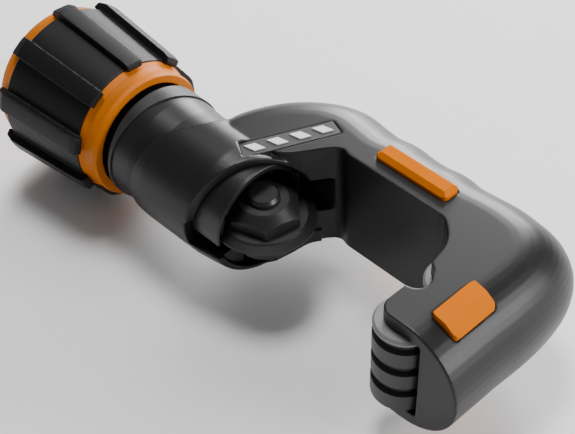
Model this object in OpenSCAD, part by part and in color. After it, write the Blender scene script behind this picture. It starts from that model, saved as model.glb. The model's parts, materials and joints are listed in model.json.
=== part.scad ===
// Hand pipe cutter: a C-shaped frame with two rollers in its jaw, and a cutter wheel on a
// carriage that a captive screw drives along the feed line.
// Millimetres. +X runs along the feed line from knob to jaw, +Y points to the frame's spine,
// and +Z is square to the plane of the C. The origin lies on the feed line, in the mid-plane.

/* [Frame] */
// Half thickness of the frame
half_t = 15; // [14:0.5:16]
// Outer radius of the barrel around the feed line
barrel_r = 15.9; // [15.5:0.1:16.5]
// Distance from the feed line to the inner wall of the spine
throat_depth = 17.5; // [17:0.5:19]
// Distance from the feed line to the back of the spine
spine_back = 38.3; // [37:0.1:40]
// Farthest X of the jaw
jaw_front = 69; // [68:0.1:70]
// Y of the flat end of the jaw
tip_y = -12.2; // [-13:0.1:-12]
// Depth of the finger scallops along the back
scallop = 0.4; // [0:0.1:0.8]

/* [Rollers] */
// X of both roller axes
roller_x = 50.7; // [50:0.1:51.5]
// Half the distance between the roller axes
roller_y = 8; // [7.8:0.1:8.5]
// Radius of a roller
roller_r = 7; // [6.5:0.1:7.2]
// Radius at the bottom of a roller's grooves
groove_r = 5.9; // [5.2:0.1:6.3]
// Half length of a roller
roller_half = 11.2; // [10.8:0.05:11.2]
// Radius of a roller pin
pin_r = 2.5; // [2:0.1:3]

/* [Cutter wheel] */
// X of the wheel's axle when the carriage is at rest
wheel_x = -0.4; // [-1:0.1:0]
// Radius of the cutting edge
wheel_r = 12.5; // [12.2:0.1:12.5]
// Radius of the flat disc inside the bevel
disc_r = 10.2; // [9:0.1:10.5]
// Half thickness of the flat disc
disc_half = 1.4; // [1:0.1:1.4]
// Radius of the axle stud
stud_r = 3.85; // [3:0.05:4]
// Width across the flats of the wheel nut
nut_af = 16; // [14:0.5:16]

/* [Feed] */
// Radius of the bore that the carriage head slides in
bore_r = 13.35; // [13.35:0.01:13.4]
// Radius of the carriage head
head_r = 13.3; // [13.25:0.01:13.3]
// Radius of the carriage stem
stem_r = 9.45; // [9.4:0.01:9.45]
// Radius of the lead screw
screw_r = 4; // [3.5:0.1:4]

/* [Knob] */
// X of the knob's front rim
knob_front = -42.2; // [-43:0.1:-42]
// X of the edge of the knob's rear cap
knob_rear = -77.9; // [-79:0.1:-77]
// Radius over the ribs at the big end
rib_r_rear = 22.6; // [22:0.1:23]
// Radius over the ribs at the small end
rib_r_front = 19.6; // [18.8:0.1:19.8]
// Height of the ribs over the panels between them
rib_high = 2.1; // [1:0.1:2.2]
// Number of ribs
rib_count = 9; // [6:1:10]
// Width of one rib in degrees
rib_deg = 13.5; // [11:0.5:18]
// Angle of the first rib
rib_start = 15.25; // [0:0.25:40]

/* [Hidden] */
$fn = 72;
eps = 0.01;
fit = 0.05;            // radial clearance of a running fit
near_zero = 0.02;      // clearance between pieces that are fixed together

black = "#2b2b2c";
steel = "#8b8d90";
dark_steel = "#4a4b4d";
orange = "#f0850f";
knob_orange = "#cc6b18";
brass = "#b8923f";

// --- helpers -----------------------------------------------------------------------------
module along_x(x) translate([x, 0, 0]) rotate([0, 90, 0]) children();
module rod_x(x0, x1, r) along_x(x0) cylinder(r = r, h = x1 - x0);
module tube_x(x0, x1, ro, ri) {
    difference() {
        rod_x(x0, x1, ro);
        rod_x(x0 - 1, x1 + 1, ri);
    }
}
// Turns a profile of [radius, x] points around the feed line
module spin_x(profile) rotate([0, 90, 0]) rotate_extrude($fn = 96) polygon(profile);
// Turns a profile of [radius, z] points around a vertical axis at [x, y]
module spin_z(x, y, profile) translate([x, y, 0]) rotate_extrude() polygon(profile);
module post_z(x, y, z0, z1, r) translate([x, y, z0]) cylinder(r = r, h = z1 - z0);
module block(x0, x1, y0, y1, z0, z1) translate([x0, y0, z0]) cube([x1 - x0, y1 - y0, z1 - z0]);

// Smooth curve through a list of points, with steps segments between neighbours
function spline_at(a, b, c, d, t) =
    0.5 * (2 * b + (c - a) * t + (2 * a - 5 * b + 4 * c - d) * t * t
    + (3 * b - a - 3 * c + d) * t * t * t);
function smooth(p, steps) = [
    for (i = [0 : len(p) - 2], k = [0 : steps - 1])
        spline_at(p[max(i - 1, 0)], p[i], p[i + 1], p[min(i + 2, len(p) - 1)], k / steps),
    p[len(p) - 1]];

// --- frame -------------------------------------------------------------------------------
// Ribs of the C from the barrel round to the tip: [inner x, inner y, outer x, outer y]
function back_y(x) = spine_back + scallop * cos(360 * (x - 2.7) / 14.5);
c_ribs = [
    [-17, 0, -23.5, 8], [-15, 0, -25.2, 14], [-12, 2, -22.5, 22], [-8, 4, -16.5, 30.5],
    [-4, 6, -8.5, 36.6], [0, 9, -1, 39], for (x = [6, 10, 14, 18, 22, 26, 30, 34, 38])
        [x, throat_depth, x + (x - 6) * 0.3, back_y(x + (x - 6) * 0.3)],
    [40.5, 16.2, 52.8, 38.2], [43.2, 13.6, 59.2, 36.8], [44.9, 10.4, 64.3, 33.2],
    [45.7, 6.6, 67.4, 27.4], [46.4, 3.5, 68.8, 20], [46.4, 0, jaw_front + 0.2, 12],
    [46.4, -4, jaw_front, 4], [46.4, -8, jaw_front, -4], [46.4, tip_y, jaw_front, tip_y]];
round_steps = 12;
// Half-round outer side of one rib, from the top down to the bottom
function rib_ring(r) =
    let (inner = [r[0], r[1]], outer = [r[2], r[3]], len_r = norm(outer - inner),
        dir = (outer - inner) / len_r, round_w = min(half_t, len_r - 2))
    [[inner.x, inner.y, -half_t], [inner.x, inner.y, half_t],
        for (k = [0 : 2 * round_steps]) let (a = 90 - 90 * k / round_steps,
            p = outer - dir * round_w * (1 - cos(a))) [p.x, p.y, half_t * sin(a)]];
module ring_loft(rings) {
    n = len(rings[0]);
    m = len(rings);
    polyhedron(
        points = [for (r = rings) each r],
        faces = [
            [for (k = [0 : n - 1]) n - 1 - k],
            [for (k = [0 : n - 1]) (m - 1) * n + k],
            for (i = [0 : m - 2], k = [0 : n - 1]) let (a = i * n, b = a + n, j = (k + 1) % n)
                each [[a + k, a + j, b + j], [a + k, b + j, b + k]]]);
}
module c_body() ring_loft([for (r = smooth(c_ribs, 4)) rib_ring(r)]);

// Outline of the throat seen from the top. The upper lip of the barrel is cut back at the
// open side, and the lower lip runs farther forward under the wheel.
spine_line = [[6, 16], [9, 17.1], [12.4, throat_depth]];
upper_lip = [[-10.4, -19], [-10.2, -14.6], [-8.8, -11.1], [-6, -3.2], [-3.2, 2.7],
    [1, 10.3], [3.9, 14.2], each spine_line];
lower_lip = [[-2.5, -19], [-1.2, -12], [-0.2, -6], [1.3, 1.8], [2.2, 6.9], [2.8, 11.3], [4.2, 14],
    each spine_line];
slot_z = 5;            // half width of the key slot
module throat_cut(lip, z0, z1) {
    front = 36;
    translate([0, 0, z0]) linear_extrude(z1 - z0)
        polygon([each smooth(lip, 3), [front, throat_depth], [front, -19]]);
}
// Slanted rear edge of the barrel: it leans back at the open side
module rear_cut() {
    edge = smooth([[-34, -19], [-30.3, -14.6], [-28.6, -10], [-25.3, -4.6], [-22.1, 0],
        [-20.6, 4.4], [-20.4, 8], [-21.6, 11], [-23.4, 14], [-24.4, 19]], 3);
    translate([0, 0, -18]) linear_extrude(36) polygon([each edge, [-50, 19], [-50, -19]]);
}
module roller_pocket() {
    pocket_back = 58.2;
    pocket_end = 15.8;
    corner = 3;
    translate([0, 0, -roller_half - 0.15]) linear_extrude(2 * roller_half + 0.3) union() {
        translate([40, tip_y - 2]) square([pocket_back - 40, pocket_end - corner - tip_y + 2]);
        translate([40, tip_y - 2]) square([pocket_back - corner - 40, pocket_end - tip_y + 2]);
        translate([pocket_back - corner, pocket_end - corner]) circle(r = corner);
    }
}
// Edge of the roller plates: a notch between the lobes, and a rounded corner at the open end
plate_corner = 3.2;
module plate_notches() {
    post_z(46.6, -0.2, -20, 20, 3.2);
    post_z(45.2, 1.6, -20, 20, 3.4);
    difference() {
        block(44, 46.4 + plate_corner, tip_y - 2, tip_y + plate_corner, -20, 20);
        post_z(46.4 + plate_corner, tip_y + plate_corner, -21, 21, plate_corner);
    }
}
// Flat chin under the wheel, level with the underside of the C
module chin() {
    translate([0, 0, -half_t]) linear_extrude(4)
        polygon([[-12, -6], [-6, -6], [-3.4, -5.2], [-1.8, -3.7], [-0.2, -0.9], [1.3, 1.8],
            [1.8, 4.1], [2.2, 6.9], [2.8, 11.3], [4.7, 14.4], [-12, 15]]);
}
spine_bar_x = [14.8, 36];
spine_bar_y = [20.9, 26.2];
bar_corner = 1.4;
bar_seat = 13.4;
bar_top = 16.8;
jaw_bar_y = [-6.4, 6.6];
badge = [[-11.1, 2.4], [-6.7, -0.2], [3.5, 22], [-1.1, 23.7]];
badge_depth = 0.9;
sleeve_out_r = 14.2;
sleeve_end = -18.5;
sleeve_in_r = stem_r + fit;
set_screw_r = 1.5;
screw_x = -25;
module jaw_bar_profile() {
    polygon([[55.8, 13.1], [55.8, 15.4], [56.6, 16.2], [59.8, 15.5], [62.7, 13.5],
        [63.1, 12.6], [61.9, 11], [59.4, 12.6]]);
}
module jaw_bar_block(grow) {
    intersection() {
        translate([0, jaw_bar_y[1] + grow, 0]) rotate([90, 0, 0])
            linear_extrude(jaw_bar_y[1] - jaw_bar_y[0] + 2 * grow) jaw_bar_profile();
        linear_extrude(30) offset(r = bar_corner + grow)
            translate([55.8 + bar_corner, jaw_bar_y[0] + bar_corner])
            square([7.3 - 2 * bar_corner, jaw_bar_y[1] - jaw_bar_y[0] - 2 * bar_corner]);
    }
}
module bar_seats() {
    translate([spine_bar_x[0], spine_bar_y[0], bar_seat]) linear_extrude(6)
        translate([bar_corner, bar_corner]) offset(r = bar_corner)
        square([spine_bar_x[1] - spine_bar_x[0] - 2 * bar_corner,
            spine_bar_y[1] - spine_bar_y[0] - 2 * bar_corner]);
    jaw_bar_block(0);
}
module frame() color(black) difference() {
    union() {
        spin_x([[0, -31.5], [barrel_r - 0.3, -31.5], [barrel_r, -27], [barrel_r, -10],
            [barrel_r - 0.5, -5.5], [barrel_r - 1.2, -1], [barrel_r - 2.2, 1.6],
            [barrel_r - 4, 4], [0, 4.4]]);
        c_body();
        chin();
    }
    throat_cut(upper_lip, -slot_z, 20);
    throat_cut(lower_lip, -20, -slot_z + eps);
    rear_cut();
    rod_x(-60, 12, bore_r);
    rod_x(-60, sleeve_end, sleeve_out_r + near_zero);
    spin_x([[0, -33], [14.8, -33], [sleeve_out_r + near_zero, -26.5], [0, -26.5]]);
    block(-19.5, 9.7, 0, throat_depth - 0.2, -slot_z, slot_z);
    block(-11, 6, -20, 0, -slot_z, 2);
    roller_pocket();
    plate_notches();
    for (s = [-1, 1]) {
        post_z(roller_x, s * roller_y, -20, 13.2, pin_r + near_zero);
        mirror([0, 0, (1 - s) / 2]) bar_seats();
    }
    translate([0, 0, half_t - badge_depth]) linear_extrude(5) polygon(badge);
    post_z(screw_x, 0, -20, -sleeve_in_r, set_screw_r + near_zero);
}

// --- fixed pieces on the frame --------------------------------------------------------------
tail_r = 12.8;         // sleeve inside the knob
tail_end = -70;
neck_rear = -39.8;
module neck_sleeve() color(black) difference() {
    union() {
        spin_x([[0, neck_rear], [14.75, neck_rear], [14.75, -33], [sleeve_out_r, -27],
            [sleeve_out_r, sleeve_end], [0, sleeve_end]]);
        rod_x(tail_end, neck_rear + eps, tail_r);
    }
    rod_x(-80, 0, sleeve_in_r);
    post_z(screw_x, 0, -20, -sleeve_in_r - 1.4, set_screw_r + near_zero);
}
// Ring over the neck; its front edge is cut on a slant
slant = 12;            // degrees
module neck_collar() color(dark_steel) difference() {
    spin_x([[14.77, neck_rear], [15, neck_rear], [15.2, neck_rear + 0.4], [15.1, -30],
        [14.77, -30]]);
    translate([-35.6, 0, 0]) rotate([0, 0, -slant]) translate([0, -30, -30]) cube(60);
}
module set_screw() color(steel) difference() {
    post_z(screw_x, 0, -15.4, -sleeve_in_r - 1.6, set_screw_r);
    translate([screw_x, 0, -16]) cylinder(r = 0.9, h = 1.8, $fn = 6);
}
plug_in = -64;
module end_plug() color(steel) difference() {
    union() {
        rod_x(tail_end, plug_in, stem_r);
        rod_x(tail_end - 1, tail_end - near_zero, tail_r - 0.6);
    }
    rod_x(-80, -60, screw_r + fit);
    tube_x(-67.9, -66, screw_r + 1.6, screw_r);
}
module friction_ring() color("#202020") tube_x(-67.8, -66.1, screw_r + 1.5, screw_r + near_zero);
module bar_block() {
    bevel = 1.1;
    x0 = spine_bar_x[0] + near_zero;
    x1 = spine_bar_x[1] - near_zero;
    y0 = spine_bar_y[0] + near_zero;
    y1 = spine_bar_y[1] - near_zero;
    intersection() {
        translate([0, y1, 0]) rotate([90, 0, 0]) linear_extrude(y1 - y0)
            polygon([[x0, bar_seat], [x1, bar_seat], [x1, bar_top - bevel],
                [x1 - bevel, bar_top], [x0 + bevel, bar_top], [x0, bar_top - bevel]]);
        translate([0, 0, bar_seat]) linear_extrude(5) offset(r = bar_corner)
            translate([x0 + bar_corner, y0 + bar_corner])
            square([x1 - x0 - 2 * bar_corner, y1 - y0 - 2 * bar_corner]);
        translate([x0, 0, 0]) rotate([90, 0, 90]) linear_extrude(x1 - x0)
            polygon([[y0, bar_seat], [y1, bar_seat], [y1, bar_top - bevel],
                [y1 - bevel, bar_top], [y0 + bevel, bar_top], [y0, bar_top - bevel]]);
    }
}
module spine_bar_top() color(orange) bar_block();
module spine_bar_bottom() color(orange) mirror([0, 0, 1]) bar_block();
module jaw_bar_top() color(orange) jaw_bar_block(-near_zero);
module jaw_bar_bottom() color(orange) mirror([0, 0, 1]) jaw_bar_block(-near_zero);
module badge_plate() color(steel) translate([0, 0, half_t - badge_depth + near_zero])
    linear_extrude(badge_depth - 0.1) offset(delta = -0.15) polygon(badge);

// --- rollers ---------------------------------------------------------------------------------
groove_z = [8.75, 1.9, -4.9];
groove_w = 1.7;
module roller(y) {
    g = groove_w / 2;
    c = 0.5;
    outline = [[pin_r + fit, -roller_half], [roller_r - c, -roller_half],
        [roller_r, -roller_half + c],
        for (k = [2, 1, 0]) each [[roller_r, groove_z[k] - g - 0.5], [groove_r, groove_z[k] - g],
            [groove_r, groove_z[k] + g], [roller_r, groove_z[k] + g + 0.5]],
        [roller_r, roller_half - c], [roller_r - c, roller_half], [pin_r + fit, roller_half]];
    spin_z(roller_x, y, outline);
}
module near_roller() color(dark_steel) roller(-roller_y);
module far_roller() color(dark_steel) roller(roller_y);
module roller_pin(y) post_z(roller_x, y, -14.8, 13.1, pin_r);
module near_roller_pin() color(steel) roller_pin(-roller_y);
module far_roller_pin() color(steel) roller_pin(roller_y);
module roller_washers() color(steel) for (s = [-1, 1], t = [-1, 1]) difference() {
    post_z(roller_x, s * roller_y, t * 11.275 - 0.055, t * 11.275 + 0.055, 4.6);
    post_z(roller_x, s * roller_y, -20, 20, pin_r + near_zero);
}

// --- knob and lead screw ---------------------------------------------------------------------
shoulder_x = [-63, -61];
screw_tip = -17.5;
screw_tail = -76;
washer_t = 0.95;
module lead_screw() color(steel) difference() {
    union() {
        rod_x(screw_tail, screw_tip - 1, screw_r);
        spin_x([[0, screw_tip - 1 - eps], [screw_r, screw_tip - 1 - eps], [screw_r - 1, screw_tip],
            [0, screw_tip]]);
        rod_x(shoulder_x[0], shoulder_x[1], 7);
    }
    tube_x(-72.9, -72, screw_r + 1, screw_r - 0.6);
    block(-76.1, -73.4, 2.4, 5, -1, 1);
    rod_x(-77, -67, 1.6);
}
module thrust_washer_front() color(brass)
    tube_x(plug_in + near_zero, plug_in + near_zero + washer_t, 7.4, screw_r + fit);
module thrust_washer_rear() color(brass)
    tube_x(tail_end - 1.98, tail_end - 1.03, 7, screw_r + fit);
module screw_circlip() color(steel) difference() {
    tube_x(-72.85, -72.05, 6.2, screw_r - 0.55);
    block(-74, -71, -0.9, 0.9, 0, 8);
}
core_r = 16;
core_in_r = tail_r + 0.35;
module knob_core() color(knob_orange) difference() {
    union() {
        spin_x([[0, -76], [core_r + 1.4, -76], [core_r + 1.4, -75], [core_r, -74.4],
            [core_r - 0.4, -50], [0, -50]]);
    }
    rod_x(-72.95, -40, core_in_r);
    rod_x(-78, -40, screw_r + near_zero);
    block(-77, -73, 2.4, 5.2, -1 - near_zero, 1 + near_zero);
}
module drive_key() color(steel) block(-76, -73.45, 2.45, 5.15, -0.99, 0.99);
// Grip: panels between the ribs, and the ribs as short turns of a higher profile
function taper(x) = rib_r_rear + (rib_r_front - rib_r_rear) * (x + 76) / 32.5;
panel_front = -48;
panel_rear = -74.2;
cap_r = 19.6;
module knob_grip() color("#1d1d1e") difference() {
    union() {
        spin_x([[core_r - 2, panel_rear], [taper(-74) - rib_high - 0.5, panel_rear],
            [taper(-73.6) - rib_high, -73.6], [taper(panel_front) - rib_high, panel_front],
            [core_r - 2, panel_front]]);
        for (k = [0 : rib_count - 1]) rotate([rib_start + k * 360 / rib_count, 0, 0])
            rotate([0, 90, 0]) rotate([0, 0, -rib_deg / 2])
                rotate_extrude(angle = rib_deg, $fn = 96) polygon([
                    [core_r - 1.5, panel_rear], [cap_r + 0.1, panel_rear], [cap_r + 0.1, -75.8],
                    [cap_r + 0.6, -76.2], [taper(-75) - 0.9, -75.4], [taper(-73), -73],
                    [taper(-48.5), -48.5], [taper(-48) - 0.4, -46.8], [taper(-47) - 1.6, -46.4],
                    [17.7, -46.8], [17.7, -47.5], [core_r - 1.5, panel_front]]);
    }
    spin_x([[0, -80], [core_r + 1.4 + near_zero, -80], [core_r + 1.4 + near_zero, -75 + 0.03],
        [core_r + near_zero, -74.4 + 0.03], [core_r - 0.4 + near_zero, -50],
        [core_r - 0.4 + near_zero, panel_front], [17.62, panel_front], [17.02, -46.4],
        [17.02, -40], [0, -40]]);
}
module knob_collar() color(knob_orange) difference() {
    spin_x([[core_in_r + 0.7, -49.98], [core_r - 0.42, -49.98], [core_r - 0.42, panel_front + near_zero],
        [17.6, panel_front + near_zero], [17.0, -46.4], [16.85, -44.6], [16.95, -43.2],
        [16.6, knob_front], [14.7, knob_front], [14.5, knob_front - 0.3], [14.5, -44]]);
}
module knob_cap() color(knob_orange) difference() {
    spin_x([[0, -79.4], [12, -79.2], [16.5, -78.7], [18.2, -78.3], [cap_r - 0.8, knob_rear],
        [cap_r - 0.3, -76.4], [cap_r, panel_rear - near_zero],
        [core_r + 1.45, panel_rear - near_zero], [core_r + 1.45, -76.04], [0, -76.04]]);
    rod_x(-77.9, -70, 7.6);
}
module knob_screw() color(steel) difference() {
    union() {
        rod_x(-76.8 + near_zero, -67.5, 1.55);
        rod_x(-77.85, -76.78, 3);
    }
    along_x(-78) cylinder(r = 1.2, h = 0.8, $fn = 6);
}
module knob_washer() color(steel) tube_x(-76.76, -76.04, 6.5, 1.65);

// --- carriage --------------------------------------------------------------------------------
head_rear = -15.5;
head_front = -2;
stem_rear = -57;
tongue = [-6.8, -1.55];  // lowest and highest z of the tongue under the wheel
tongue_r = 7.4;
nut_top = 6.2;
nut_rear_x = -57;
nut_front_x = -46;
nut_out_r = 6.5;
module carriage() color(dark_steel) difference() {
    union() {
        rod_x(stem_rear, head_rear + eps, stem_r);
        spin_x([[0, head_rear], [head_r - 0.5, head_rear], [head_r, head_rear + 0.5],
            [head_r, head_front - 0.3], [head_r - 0.3, head_front], [0, head_front]]);
        intersection() {
            post_z(wheel_x, 0, tongue[0], tongue[1], tongue_r);
            rod_x(-14, 20, head_r);
        }
    }
    // Cup in the head's front, and the well around the wheel nut
    difference() {
        rod_x(-9.5, 0, head_r - 1.5);
        block(-20, 10, -20, 20, -20, tongue[1]);
    }
    post_z(wheel_x, 0, tongue[1], 6.6, 10.9);
    // Slot that the wheel turns in
    post_z(wheel_x, 0, tongue[1], -tongue[1] + 0.25, wheel_r + 0.3);
    // Side reliefs under the wheel
    for (s = [-1, 1]) block(-11, 0, s > 0 ? 9.4 : -14, s > 0 ? 14 : -9.4, -slot_z, tongue[1] + eps);
    rod_x(stem_rear - 1, nut_front_x, nut_out_r + near_zero);
    rod_x(-60, screw_tip + 4, screw_r + 0.5);
    post_z(wheel_x, 0, -14, 4, stud_r + near_zero);
    post_z(wheel_x, 0, -14, tongue[0], 5.8);
    post_z(-52, 0, nut_out_r - 1.5, 12, 1.02);
    key_seat(near_zero);
    for (x = key_screw_x) translate([x, 8.4, 0]) rotate([-90, 0, 0]) cylinder(r = 1.02, h = 6);
}
module feed_nut() color(brass) difference() {
    rod_x(nut_rear_x, nut_front_x - near_zero, nut_out_r);
    rod_x(-60, -40, screw_r + fit);
    post_z(-52, 0, nut_out_r - 1.5, 12, 1.02);
}
module nut_pin() color(steel) post_z(-52, 0, nut_out_r - 1.45, stem_r - 0.3, 1);
key_x = [-15.4, -5.5];
key_y = [11.8, 16.8];
key_screw_x = [-14, -12.2];
module key_seat(grow) block(key_x[0] - grow, key_x[1] + grow, key_y[0] - grow, key_y[1] + grow,
    -slot_z + 0.1 - grow, slot_z - 0.1 + grow);
module guide_key() color(steel) difference() {
    key_seat(0);
    post_z(wheel_x, 0, -10, 10, wheel_r + 0.6);
    for (x = [key_screw_x[0]]) translate([x, 8, 0]) rotate([-90, 0, 0]) cylinder(r = 1.02, h = 10);
    translate([key_screw_x[0], 15, 0]) rotate([-90, 0, 0]) cylinder(r = 1.7, h = 3);
}
module key_screws() color(steel) {
    translate([key_screw_x[0], 8.6, 0]) rotate([-90, 0, 0]) cylinder(r = 1, h = 6.42);
    translate([key_screw_x[0], 15.02, 0]) rotate([-90, 0, 0]) cylinder(r = 1.6, h = 1.4);
}

// --- cutter wheel ----------------------------------------------------------------------------
bush_r = stud_r + 1.2;
edge_half = 0.12;
module cutter_wheel() color(dark_steel) spin_z(wheel_x, 0, [[bush_r + near_zero, -disc_half],
    [disc_r, -disc_half], [disc_r + 0.5, -disc_half + 0.35], [wheel_r, -edge_half],
    [wheel_r, edge_half], [disc_r + 0.5, disc_half - 0.35], [disc_r, disc_half],
    [bush_r + near_zero, disc_half]]);
module wheel_bush() color(brass) difference() {
    post_z(wheel_x, 0, -disc_half, disc_half, bush_r);
    post_z(wheel_x, 0, -5, 5, stud_r + fit);
}
module thrust_disc() color(steel) difference() {
    post_z(wheel_x, 0, tongue[1] + 0.02, -disc_half - 0.05, 7);
    post_z(wheel_x, 0, -5, 5, stud_r + near_zero);
}
module wheel_stud() color(steel) difference() {
    spin_z(wheel_x, 0, [[0, -8.8], [stud_r - 0.3, -8.8], [stud_r, -8.5], [stud_r, 7.1],
        [3.26, 7.9], [0, 7.9]]);
    difference() {
        post_z(wheel_x, 0, -7.9, -7.1, 6);
        post_z(wheel_x, 0, -12, -6, stud_r - 0.5);
    }
}
module stud_clip() color(steel) difference() {
    post_z(wheel_x, 0, -7.85, -7.15, 5.4);
    post_z(wheel_x, 0, -12, -6, stud_r - 0.48);
    block(wheel_x - 0.8, wheel_x + 0.8, 0, 8, -12, -6);
}
// Six-sided nut with its corners chamfered by a cone
module wheel_nut() color(dark_steel) difference() {
    corner = nut_af / 2 / cos(30);
    intersection() {
        translate([wheel_x, 0, disc_half + 0.06]) rotate([0, 0, 18])
            cylinder(r = corner, h = nut_top - disc_half - 0.06, $fn = 6);
        spin_z(wheel_x, 0, [[0, 0], [corner + 0.1, 0], [corner + 0.1, 3.4], [5.9, nut_top + 0.01],
            [0, nut_top + 0.01]]);
    }
    post_z(wheel_x, 0, 0, 8, stud_r + near_zero);
}

frame();
neck_sleeve();
neck_collar();
end_plug();
set_screw();
spine_bar_top();
spine_bar_bottom();
jaw_bar_top();
jaw_bar_bottom();
badge_plate();
near_roller();
far_roller();
near_roller_pin();
far_roller_pin();
roller_washers();
lead_screw();
thrust_washer_front();
thrust_washer_rear();
screw_circlip();
friction_ring();
knob_core();
knob_grip();
knob_collar();
knob_cap();
knob_screw();
knob_washer();
drive_key();
carriage();
feed_nut();
nut_pin();
guide_key();
key_screws();
cutter_wheel();
wheel_bush();
wheel_stud();
wheel_nut();
thrust_disc();
stud_clip();
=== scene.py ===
import json
import math
import bpy
from mathutils import Matrix, Vector


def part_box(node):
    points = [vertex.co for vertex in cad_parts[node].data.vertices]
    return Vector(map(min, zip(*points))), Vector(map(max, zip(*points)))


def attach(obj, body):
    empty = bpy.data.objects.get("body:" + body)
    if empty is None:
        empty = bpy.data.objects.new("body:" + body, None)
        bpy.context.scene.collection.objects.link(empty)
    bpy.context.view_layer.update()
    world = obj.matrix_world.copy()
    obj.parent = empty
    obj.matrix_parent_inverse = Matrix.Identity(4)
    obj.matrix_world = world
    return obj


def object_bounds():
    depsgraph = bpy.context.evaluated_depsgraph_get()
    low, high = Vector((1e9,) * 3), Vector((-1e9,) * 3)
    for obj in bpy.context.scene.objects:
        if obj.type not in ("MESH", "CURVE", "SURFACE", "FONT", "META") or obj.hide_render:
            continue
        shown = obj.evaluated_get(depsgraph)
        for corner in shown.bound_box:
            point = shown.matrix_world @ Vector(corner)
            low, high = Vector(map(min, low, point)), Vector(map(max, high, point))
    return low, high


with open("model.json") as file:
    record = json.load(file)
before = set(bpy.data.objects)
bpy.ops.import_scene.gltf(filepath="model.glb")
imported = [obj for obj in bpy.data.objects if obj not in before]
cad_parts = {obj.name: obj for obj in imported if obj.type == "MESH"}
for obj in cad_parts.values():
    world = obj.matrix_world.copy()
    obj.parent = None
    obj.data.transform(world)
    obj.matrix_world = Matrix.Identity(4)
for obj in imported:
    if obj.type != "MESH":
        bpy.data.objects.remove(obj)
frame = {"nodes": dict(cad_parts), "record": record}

cad_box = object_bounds()
MM = 0.001
NODES = frame["nodes"]

# --- camera -------------------------------------------------------------------------------
# The place, angles and lens that line the tool up with the photo
CAM_AZIMUTH = math.radians(46.45)
CAM_ELEVATION = math.radians(44.39)
CAM_ROLL = math.radians(-1.43)
CAM_PLACE = Vector((177.33, -161.54, 234.99)) * MM
CAM_LENS = 89.64
CAM_SENSOR = 36
CAM_NEAR = 10 * MM


def add_camera():
    """Looks down on the tool from the open side of the C."""
    cos_az, sin_az = math.cos(CAM_AZIMUTH), math.sin(CAM_AZIMUTH)
    cos_el, sin_el = math.cos(CAM_ELEVATION), math.sin(CAM_ELEVATION)
    back = Vector((sin_az * cos_el, -cos_az * cos_el, sin_el))
    level = Vector((cos_az, sin_az, 0))
    upright = back.cross(level)
    cos_roll, sin_roll = math.cos(CAM_ROLL), math.sin(CAM_ROLL)
    right = level * cos_roll + upright * sin_roll
    up = upright * cos_roll - level * sin_roll
    data = bpy.data.cameras.new("camera")
    data.lens = CAM_LENS
    data.sensor_width = CAM_SENSOR
    data.clip_start = CAM_NEAR
    camera = bpy.data.objects.new("camera", data)
    turn = Matrix((right, up, back)).transposed().to_4x4()
    camera.matrix_world = Matrix.Translation(CAM_PLACE) @ turn
    bpy.context.scene.collection.objects.link(camera)
    bpy.context.scene.camera = camera


add_camera()


# --- materials ----------------------------------------------------------------------------
PATCH_GRAIN = 9.0               # size in mm of the patches that the colour wanders over
NOISE_DETAIL = 3.0
NOISE_LOW, NOISE_HIGH = 0.3, 0.7        # where nearly all of the noise lies
WEAR_FROM, WEAR_FULL = 0.53, 0.64       # pointiness where an edge starts and ends wearing
RELIEF_STRENGTH = 0.6
BARE_GREY = (0.2, 0.2, 0.2, 1)          # bare metal on the top end of a roller
END_BLUR = 0.05                 # half the width in mm of the step to bare metal


def new_material(name):
    """A node material with its shader, and the object's own coordinates in metres."""
    material = bpy.data.materials.new(name)
    material.use_nodes = True
    nodes = material.node_tree.nodes
    shader = nodes["Principled BSDF"]
    coords = nodes.new("ShaderNodeTexCoord")
    return material, nodes, material.node_tree.links, shader, coords.outputs["Object"]


def noise(nodes, links, where, grain, stretch=(1, 1, 1)):
    """Noise whose grains are about that many millimetres across."""
    mapping = nodes.new("ShaderNodeMapping")
    mapping.inputs["Scale"].default_value = stretch
    links.new(where, mapping.inputs["Vector"])
    texture = nodes.new("ShaderNodeTexNoise")
    texture.inputs["Scale"].default_value = 1 / (grain * MM)
    texture.inputs["Detail"].default_value = NOISE_DETAIL
    links.new(mapping.outputs["Vector"], texture.inputs["Vector"])
    return texture.outputs["Fac"]


def remap(nodes, links, value, start, end, low=0.0, high=1.0):
    """Carries a value from start..end to low..high."""
    ramp = nodes.new("ShaderNodeMapRange")
    ramp.inputs["From Min"].default_value = start
    ramp.inputs["From Max"].default_value = end
    ramp.inputs["To Min"].default_value = low
    ramp.inputs["To Max"].default_value = high
    links.new(value, ramp.inputs["Value"])
    return ramp.outputs["Result"]


def blend(nodes, links, factor, first, second):
    """Mixes two colours; each is a plain colour or another node's output."""
    mix = nodes.new("ShaderNodeMix")
    mix.data_type = "RGBA"
    for side, colour in (("A", first), ("B", second)):
        if isinstance(colour, bpy.types.NodeSocket):
            links.new(colour, mix.inputs[side])
        else:
            mix.inputs[side].default_value = colour
    links.new(factor, mix.inputs["Factor"])
    return mix.outputs["Result"]


def scaled(colour, factor, lift=0.0):
    """A colour made lighter or darker, as four channels."""
    return [min(1, channel * factor + lift) for channel in colour] + [1]


def pale_end(nodes, links, where, paint, z):
    """Bare metal where the object's z is above that many millimetres."""
    split = nodes.new("ShaderNodeSeparateXYZ")
    links.new(where, split.inputs["Vector"])
    step = remap(nodes, links, split.outputs["Z"], (z - END_BLUR) * MM, (z + END_BLUR) * MM)
    return blend(nodes, links, step, paint, BARE_GREY)


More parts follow.
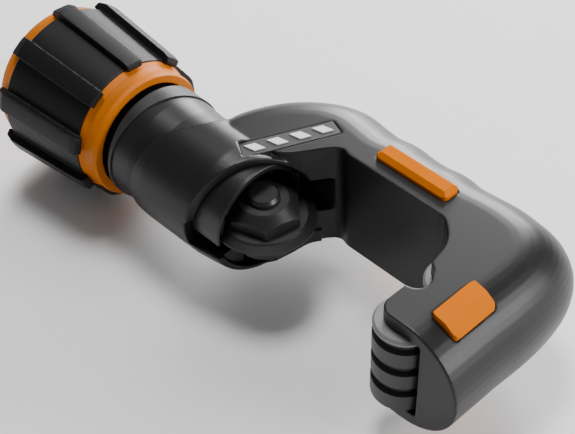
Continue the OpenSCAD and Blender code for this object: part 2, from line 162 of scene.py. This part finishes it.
def surface(name, colour, rough, metallic=0.0, grain=0.35, bump=0.02, vary=0.12, spread=0.05,
            stretch=(1, 1, 1), specular=0.5, wear=0.55, pale_above=None):
    """Colour and roughness that wander a little over a fine grain, with edges worn paler.

    Lengths are in millimetres. vary and spread are how far the colour and the roughness
    wander, wear is how pale a worn edge gets, and pale_above is the z where bare metal starts.
    """
    material, nodes, links, shader, where = new_material(name)
    patches = noise(nodes, links, where, PATCH_GRAIN)
    fine = noise(nodes, links, where, grain, stretch)
    patchy = remap(nodes, links, patches, NOISE_LOW, NOISE_HIGH)
    base = blend(nodes, links, patchy, scaled(colour, 1 - vary), scaled(colour, 1 + vary))
    edge = nodes.new("ShaderNodeNewGeometry").outputs["Pointiness"]
    rubbed = remap(nodes, links, edge, WEAR_FROM, WEAR_FULL, high=wear)
    paint = blend(nodes, links, rubbed, base, scaled(colour, 1.5, lift=0.02))
    if pale_above is not None:
        paint = pale_end(nodes, links, where, paint, pale_above)
    links.new(paint, shader.inputs["Base Color"])
    grainy = remap(nodes, links, fine, NOISE_LOW, NOISE_HIGH, rough - spread, rough + spread)
    links.new(grainy, shader.inputs["Roughness"])
    relief = nodes.new("ShaderNodeBump")
    relief.inputs["Strength"].default_value = RELIEF_STRENGTH
    relief.inputs["Distance"].default_value = bump * MM
    links.new(fine, relief.inputs["Height"])
    links.new(relief.outputs["Normal"], shader.inputs["Normal"])
    shader.inputs["Metallic"].default_value = metallic
    shader.inputs["Specular IOR Level"].default_value = specular
    return material


LOOKS = {
    "body_black": surface("satin_black", (0.011, 0.011, 0.0114), 0.38, grain=0.3, bump=0.012,
                          vary=0.1, specular=0.3, wear=0.0),
    "collar_grey": surface("collar_grey", (0.022, 0.022, 0.023), 0.45, grain=0.3, bump=0.012,
                           specular=0.3),
    "bar_orange": surface("bar_orange", (0.62, 0.15, 0.0), 0.8, grain=0.4, bump=0.01,
                          vary=0.05, specular=0.0, wear=0.1),
    "badge_metal": surface("badge_metal", (0.02, 0.02, 0.021), 0.5, metallic=0.3, grain=0.3,
                           bump=0.01),
    "roller_steel": surface("turned_steel", (0.009, 0.009, 0.0095), 0.42, grain=0.25,
                            vary=0.15, spread=0.07, stretch=(1, 1, 9), pale_above=9.9),
    "bronze": surface("bronze", (0.5, 0.32, 0.12), 0.35, metallic=1.0, grain=0.3),
    "ring_rubber": surface("ring_rubber", (0.015, 0.015, 0.015), 0.7),
    "knob_orange": surface("knob_orange", (0.56, 0.145, 0.0), 0.5, bump=0.012, vary=0.07,
                           specular=0.15, wear=0.1),
    "grip_rubber": surface("grip_rubber", (0.005, 0.005, 0.0055), 0.5, grain=0.22, bump=0.05,
                           vary=0.15, spread=0.09, specular=0.25),
    "dark_metal": surface("black_oxide", (0.013, 0.013, 0.0135), 0.36, metallic=0.2, grain=0.3,
                          bump=0.015),
    "steel": surface("machined_steel", (0.5, 0.5, 0.51), 0.32, metallic=1.0, grain=0.3,
                     vary=0.08),
}
PALE_MARK = surface("pale_mark", (0.75, 0.75, 0.75), 0.5, grain=0.3, bump=0.005, vary=0.03)


def dress_nodes():
    """Gives each CAD piece the look of its material slot."""
    for part in frame["record"]["subparts"]:
        mesh = NODES[part["node"]].data
        mesh.materials.clear()
        mesh.materials.append(LOOKS[part["material_slot"]])


dress_nodes()


# --- edges of the CAD pieces --------------------------------------------------------------
SHARP_ANGLE = math.radians(28)  # edges that turn by more than this get rounded
BAR_EDGE = 0.3                  # width in mm of the rounding on an orange bar
TURNED_EDGE = 0.15              # the same on a turned or milled piece
ORANGE_BARS = ("spine_bar_top", "spine_bar_bottom", "jaw_bar_top", "jaw_bar_bottom")
TURNED_PIECES = ("neck_sleeve", "neck_collar", "knob_collar", "knob_cap", "knob_core",
                 "wheel_stud", "near_roller", "far_roller", "cutter_wheel", "wheel_nut",
                 "guide_key", "end_plug")


def soften(node, width, segments):
    """Rounds a CAD piece's sharp edges; width is in millimetres."""
    item = NODES[node]
    for polygon in item.data.polygons:
        polygon.use_smooth = True
    bevel = item.modifiers.new("edges", "BEVEL")
    bevel.width = width * MM
    bevel.segments = segments
    bevel.limit_method = "ANGLE"
    bevel.angle_limit = SHARP_ANGLE
    bevel.harden_normals = True
    bevel.use_clamp_overlap = True


def remelt(node, voxel, passes):
    """Remesh with voxels of that many millimetres, and corners relaxed as in a casting."""
    item = NODES[node]
    remesh = item.modifiers.new("cast", "REMESH")
    remesh.mode = "VOXEL"
    remesh.voxel_size = voxel * MM
    remesh.use_smooth_shade = True
    relax = item.modifiers.new("relax", "SMOOTH")
    relax.factor = 0.5
    relax.iterations = passes


remelt("frame", 0.22, 16)
remelt("knob_grip", 0.2, 2)
for bar in ORANGE_BARS:
    soften(bar, BAR_EDGE, 3)
for turned in TURNED_PIECES:
    soften(turned, TURNED_EDGE, 2)
remelt("carriage", 0.14, 2)


# --- pieces that the CAD leaves plain ------------------------------------------------------
BADGE_START = Vector((-8.6, 1.6))       # ends of the row of bars, in mm
BADGE_END = Vector((0.6, 22.2))
BADGE_COUNT = 4
BADGE_HIGH = 0.25               # how far a bar stands over the badge plate
BADGE_SUNK = 0.05               # how far it reaches into the plate
BADGE_HALF = 1.25               # half length of a bar across the row
BADGE_LEAN = 0.9                # how far its ends lean along the row
BADGE_FILL = 0.5                # share of the pitch that a bar takes
BADGE_EDGE = 0.08
BOX_FACES = ((3, 2, 1, 0), (4, 5, 6, 7), (0, 1, 5, 4), (1, 2, 6, 5), (2, 3, 7, 6), (3, 0, 4, 7))


def link_mesh(name, verts, faces, body, material):
    """Adds a flat-shaded piece that rides on a body and belongs to a material slot."""
    mesh = bpy.data.meshes.new(name)
    mesh.from_pydata(verts, [], faces)
    mesh.update()
    item = bpy.data.objects.new(name, mesh)
    bpy.context.scene.collection.objects.link(item)
    mesh.materials.append(material)
    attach(item, body)
    return item


def add_badge_bars():
    """Plain slanted bars in the badge recess, in place of any mark."""
    along = (BADGE_END - BADGE_START).normalized()
    across = Vector((along.y, -along.x)) * BADGE_HALF
    lean = along * BADGE_LEAN
    pitch = (BADGE_END - BADGE_START).length / BADGE_COUNT
    step = along * pitch * BADGE_FILL
    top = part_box("badge_plate")[1][2] / MM
    verts = []
    faces = []
    for k in range(BADGE_COUNT):
        first = BADGE_START + along * pitch * (k + (1 - BADGE_FILL) / 2)
        corners = (first - across - lean, first + step - across - lean,
                   first + step + across + lean, first + across + lean)
        base = len(verts)
        for z in (top - BADGE_SUNK, top + BADGE_HIGH):
            verts += [Vector((corner.x, corner.y, z)) * MM for corner in corners]
        faces += [tuple(base + i for i in face) for face in BOX_FACES]
    bars = link_mesh("badge_bars", verts, faces, "frame", PALE_MARK)
    bevel = bars.modifiers.new("edges", "BEVEL")
    bevel.width = BADGE_EDGE * MM
    bevel.segments = 2


add_badge_bars()


# --- stage --------------------------------------------------------------------------------
# Lengths in metres, as the scene has them
FLOOR_HALF = 3.0
FLOOR_GAP = 0.0005              # between the floor and the lowest point of the CAD
LIGHTS = {                      # place, side of the square and power in watts
    "right": ((0.8, 0.42, 0.38), 0.5, 10.0),
    "back": ((-0.4, 0.8, 0.3), 0.4, 14.0),
    "top": ((-0.2, 0.15, 0.85), 0.3, 6.0),
}
WORLD_STRENGTH = 0.2


def add_floor():
    z = cad_box[0][2] - FLOOR_GAP
    corners = [(x * FLOOR_HALF, y * FLOOR_HALF, z) for x, y in ((-1, -1), (1, -1), (1, 1), (-1, 1))]
    mesh = bpy.data.meshes.new("floor")
    mesh.from_pydata(corners, [], [(0, 1, 2, 3)])
    floor = bpy.data.objects.new("floor", mesh)
    bpy.context.scene.collection.objects.link(floor)
    mesh.materials.append(surface("floor_white", (0.95, 0.95, 0.95), 0.8, grain=4.0, bump=0.01,
                                  vary=0.01))


def add_light(name, place, size, power):
    """A square soft light that looks at the origin."""
    data = bpy.data.lights.new(name, "AREA")
    data.size = size
    data.energy = power
    light = bpy.data.objects.new(name, data)
    light.location = place
    light.rotation_euler = Vector(place).to_track_quat("Z", "Y").to_euler()
    bpy.context.scene.collection.objects.link(light)


def add_world():
    """Even white light from all round."""
    world = bpy.data.worlds.new("studio")
    world.use_nodes = True
    back = world.node_tree.nodes["Background"]
    back.inputs["Color"].default_value = (1, 1, 1, 1)
    back.inputs["Strength"].default_value = WORLD_STRENGTH
    bpy.context.scene.world = world


add_floor()
for light_name, (light_place, light_size, light_power) in LIGHTS.items():
    add_light(light_name, light_place, light_size, light_power)
add_world()
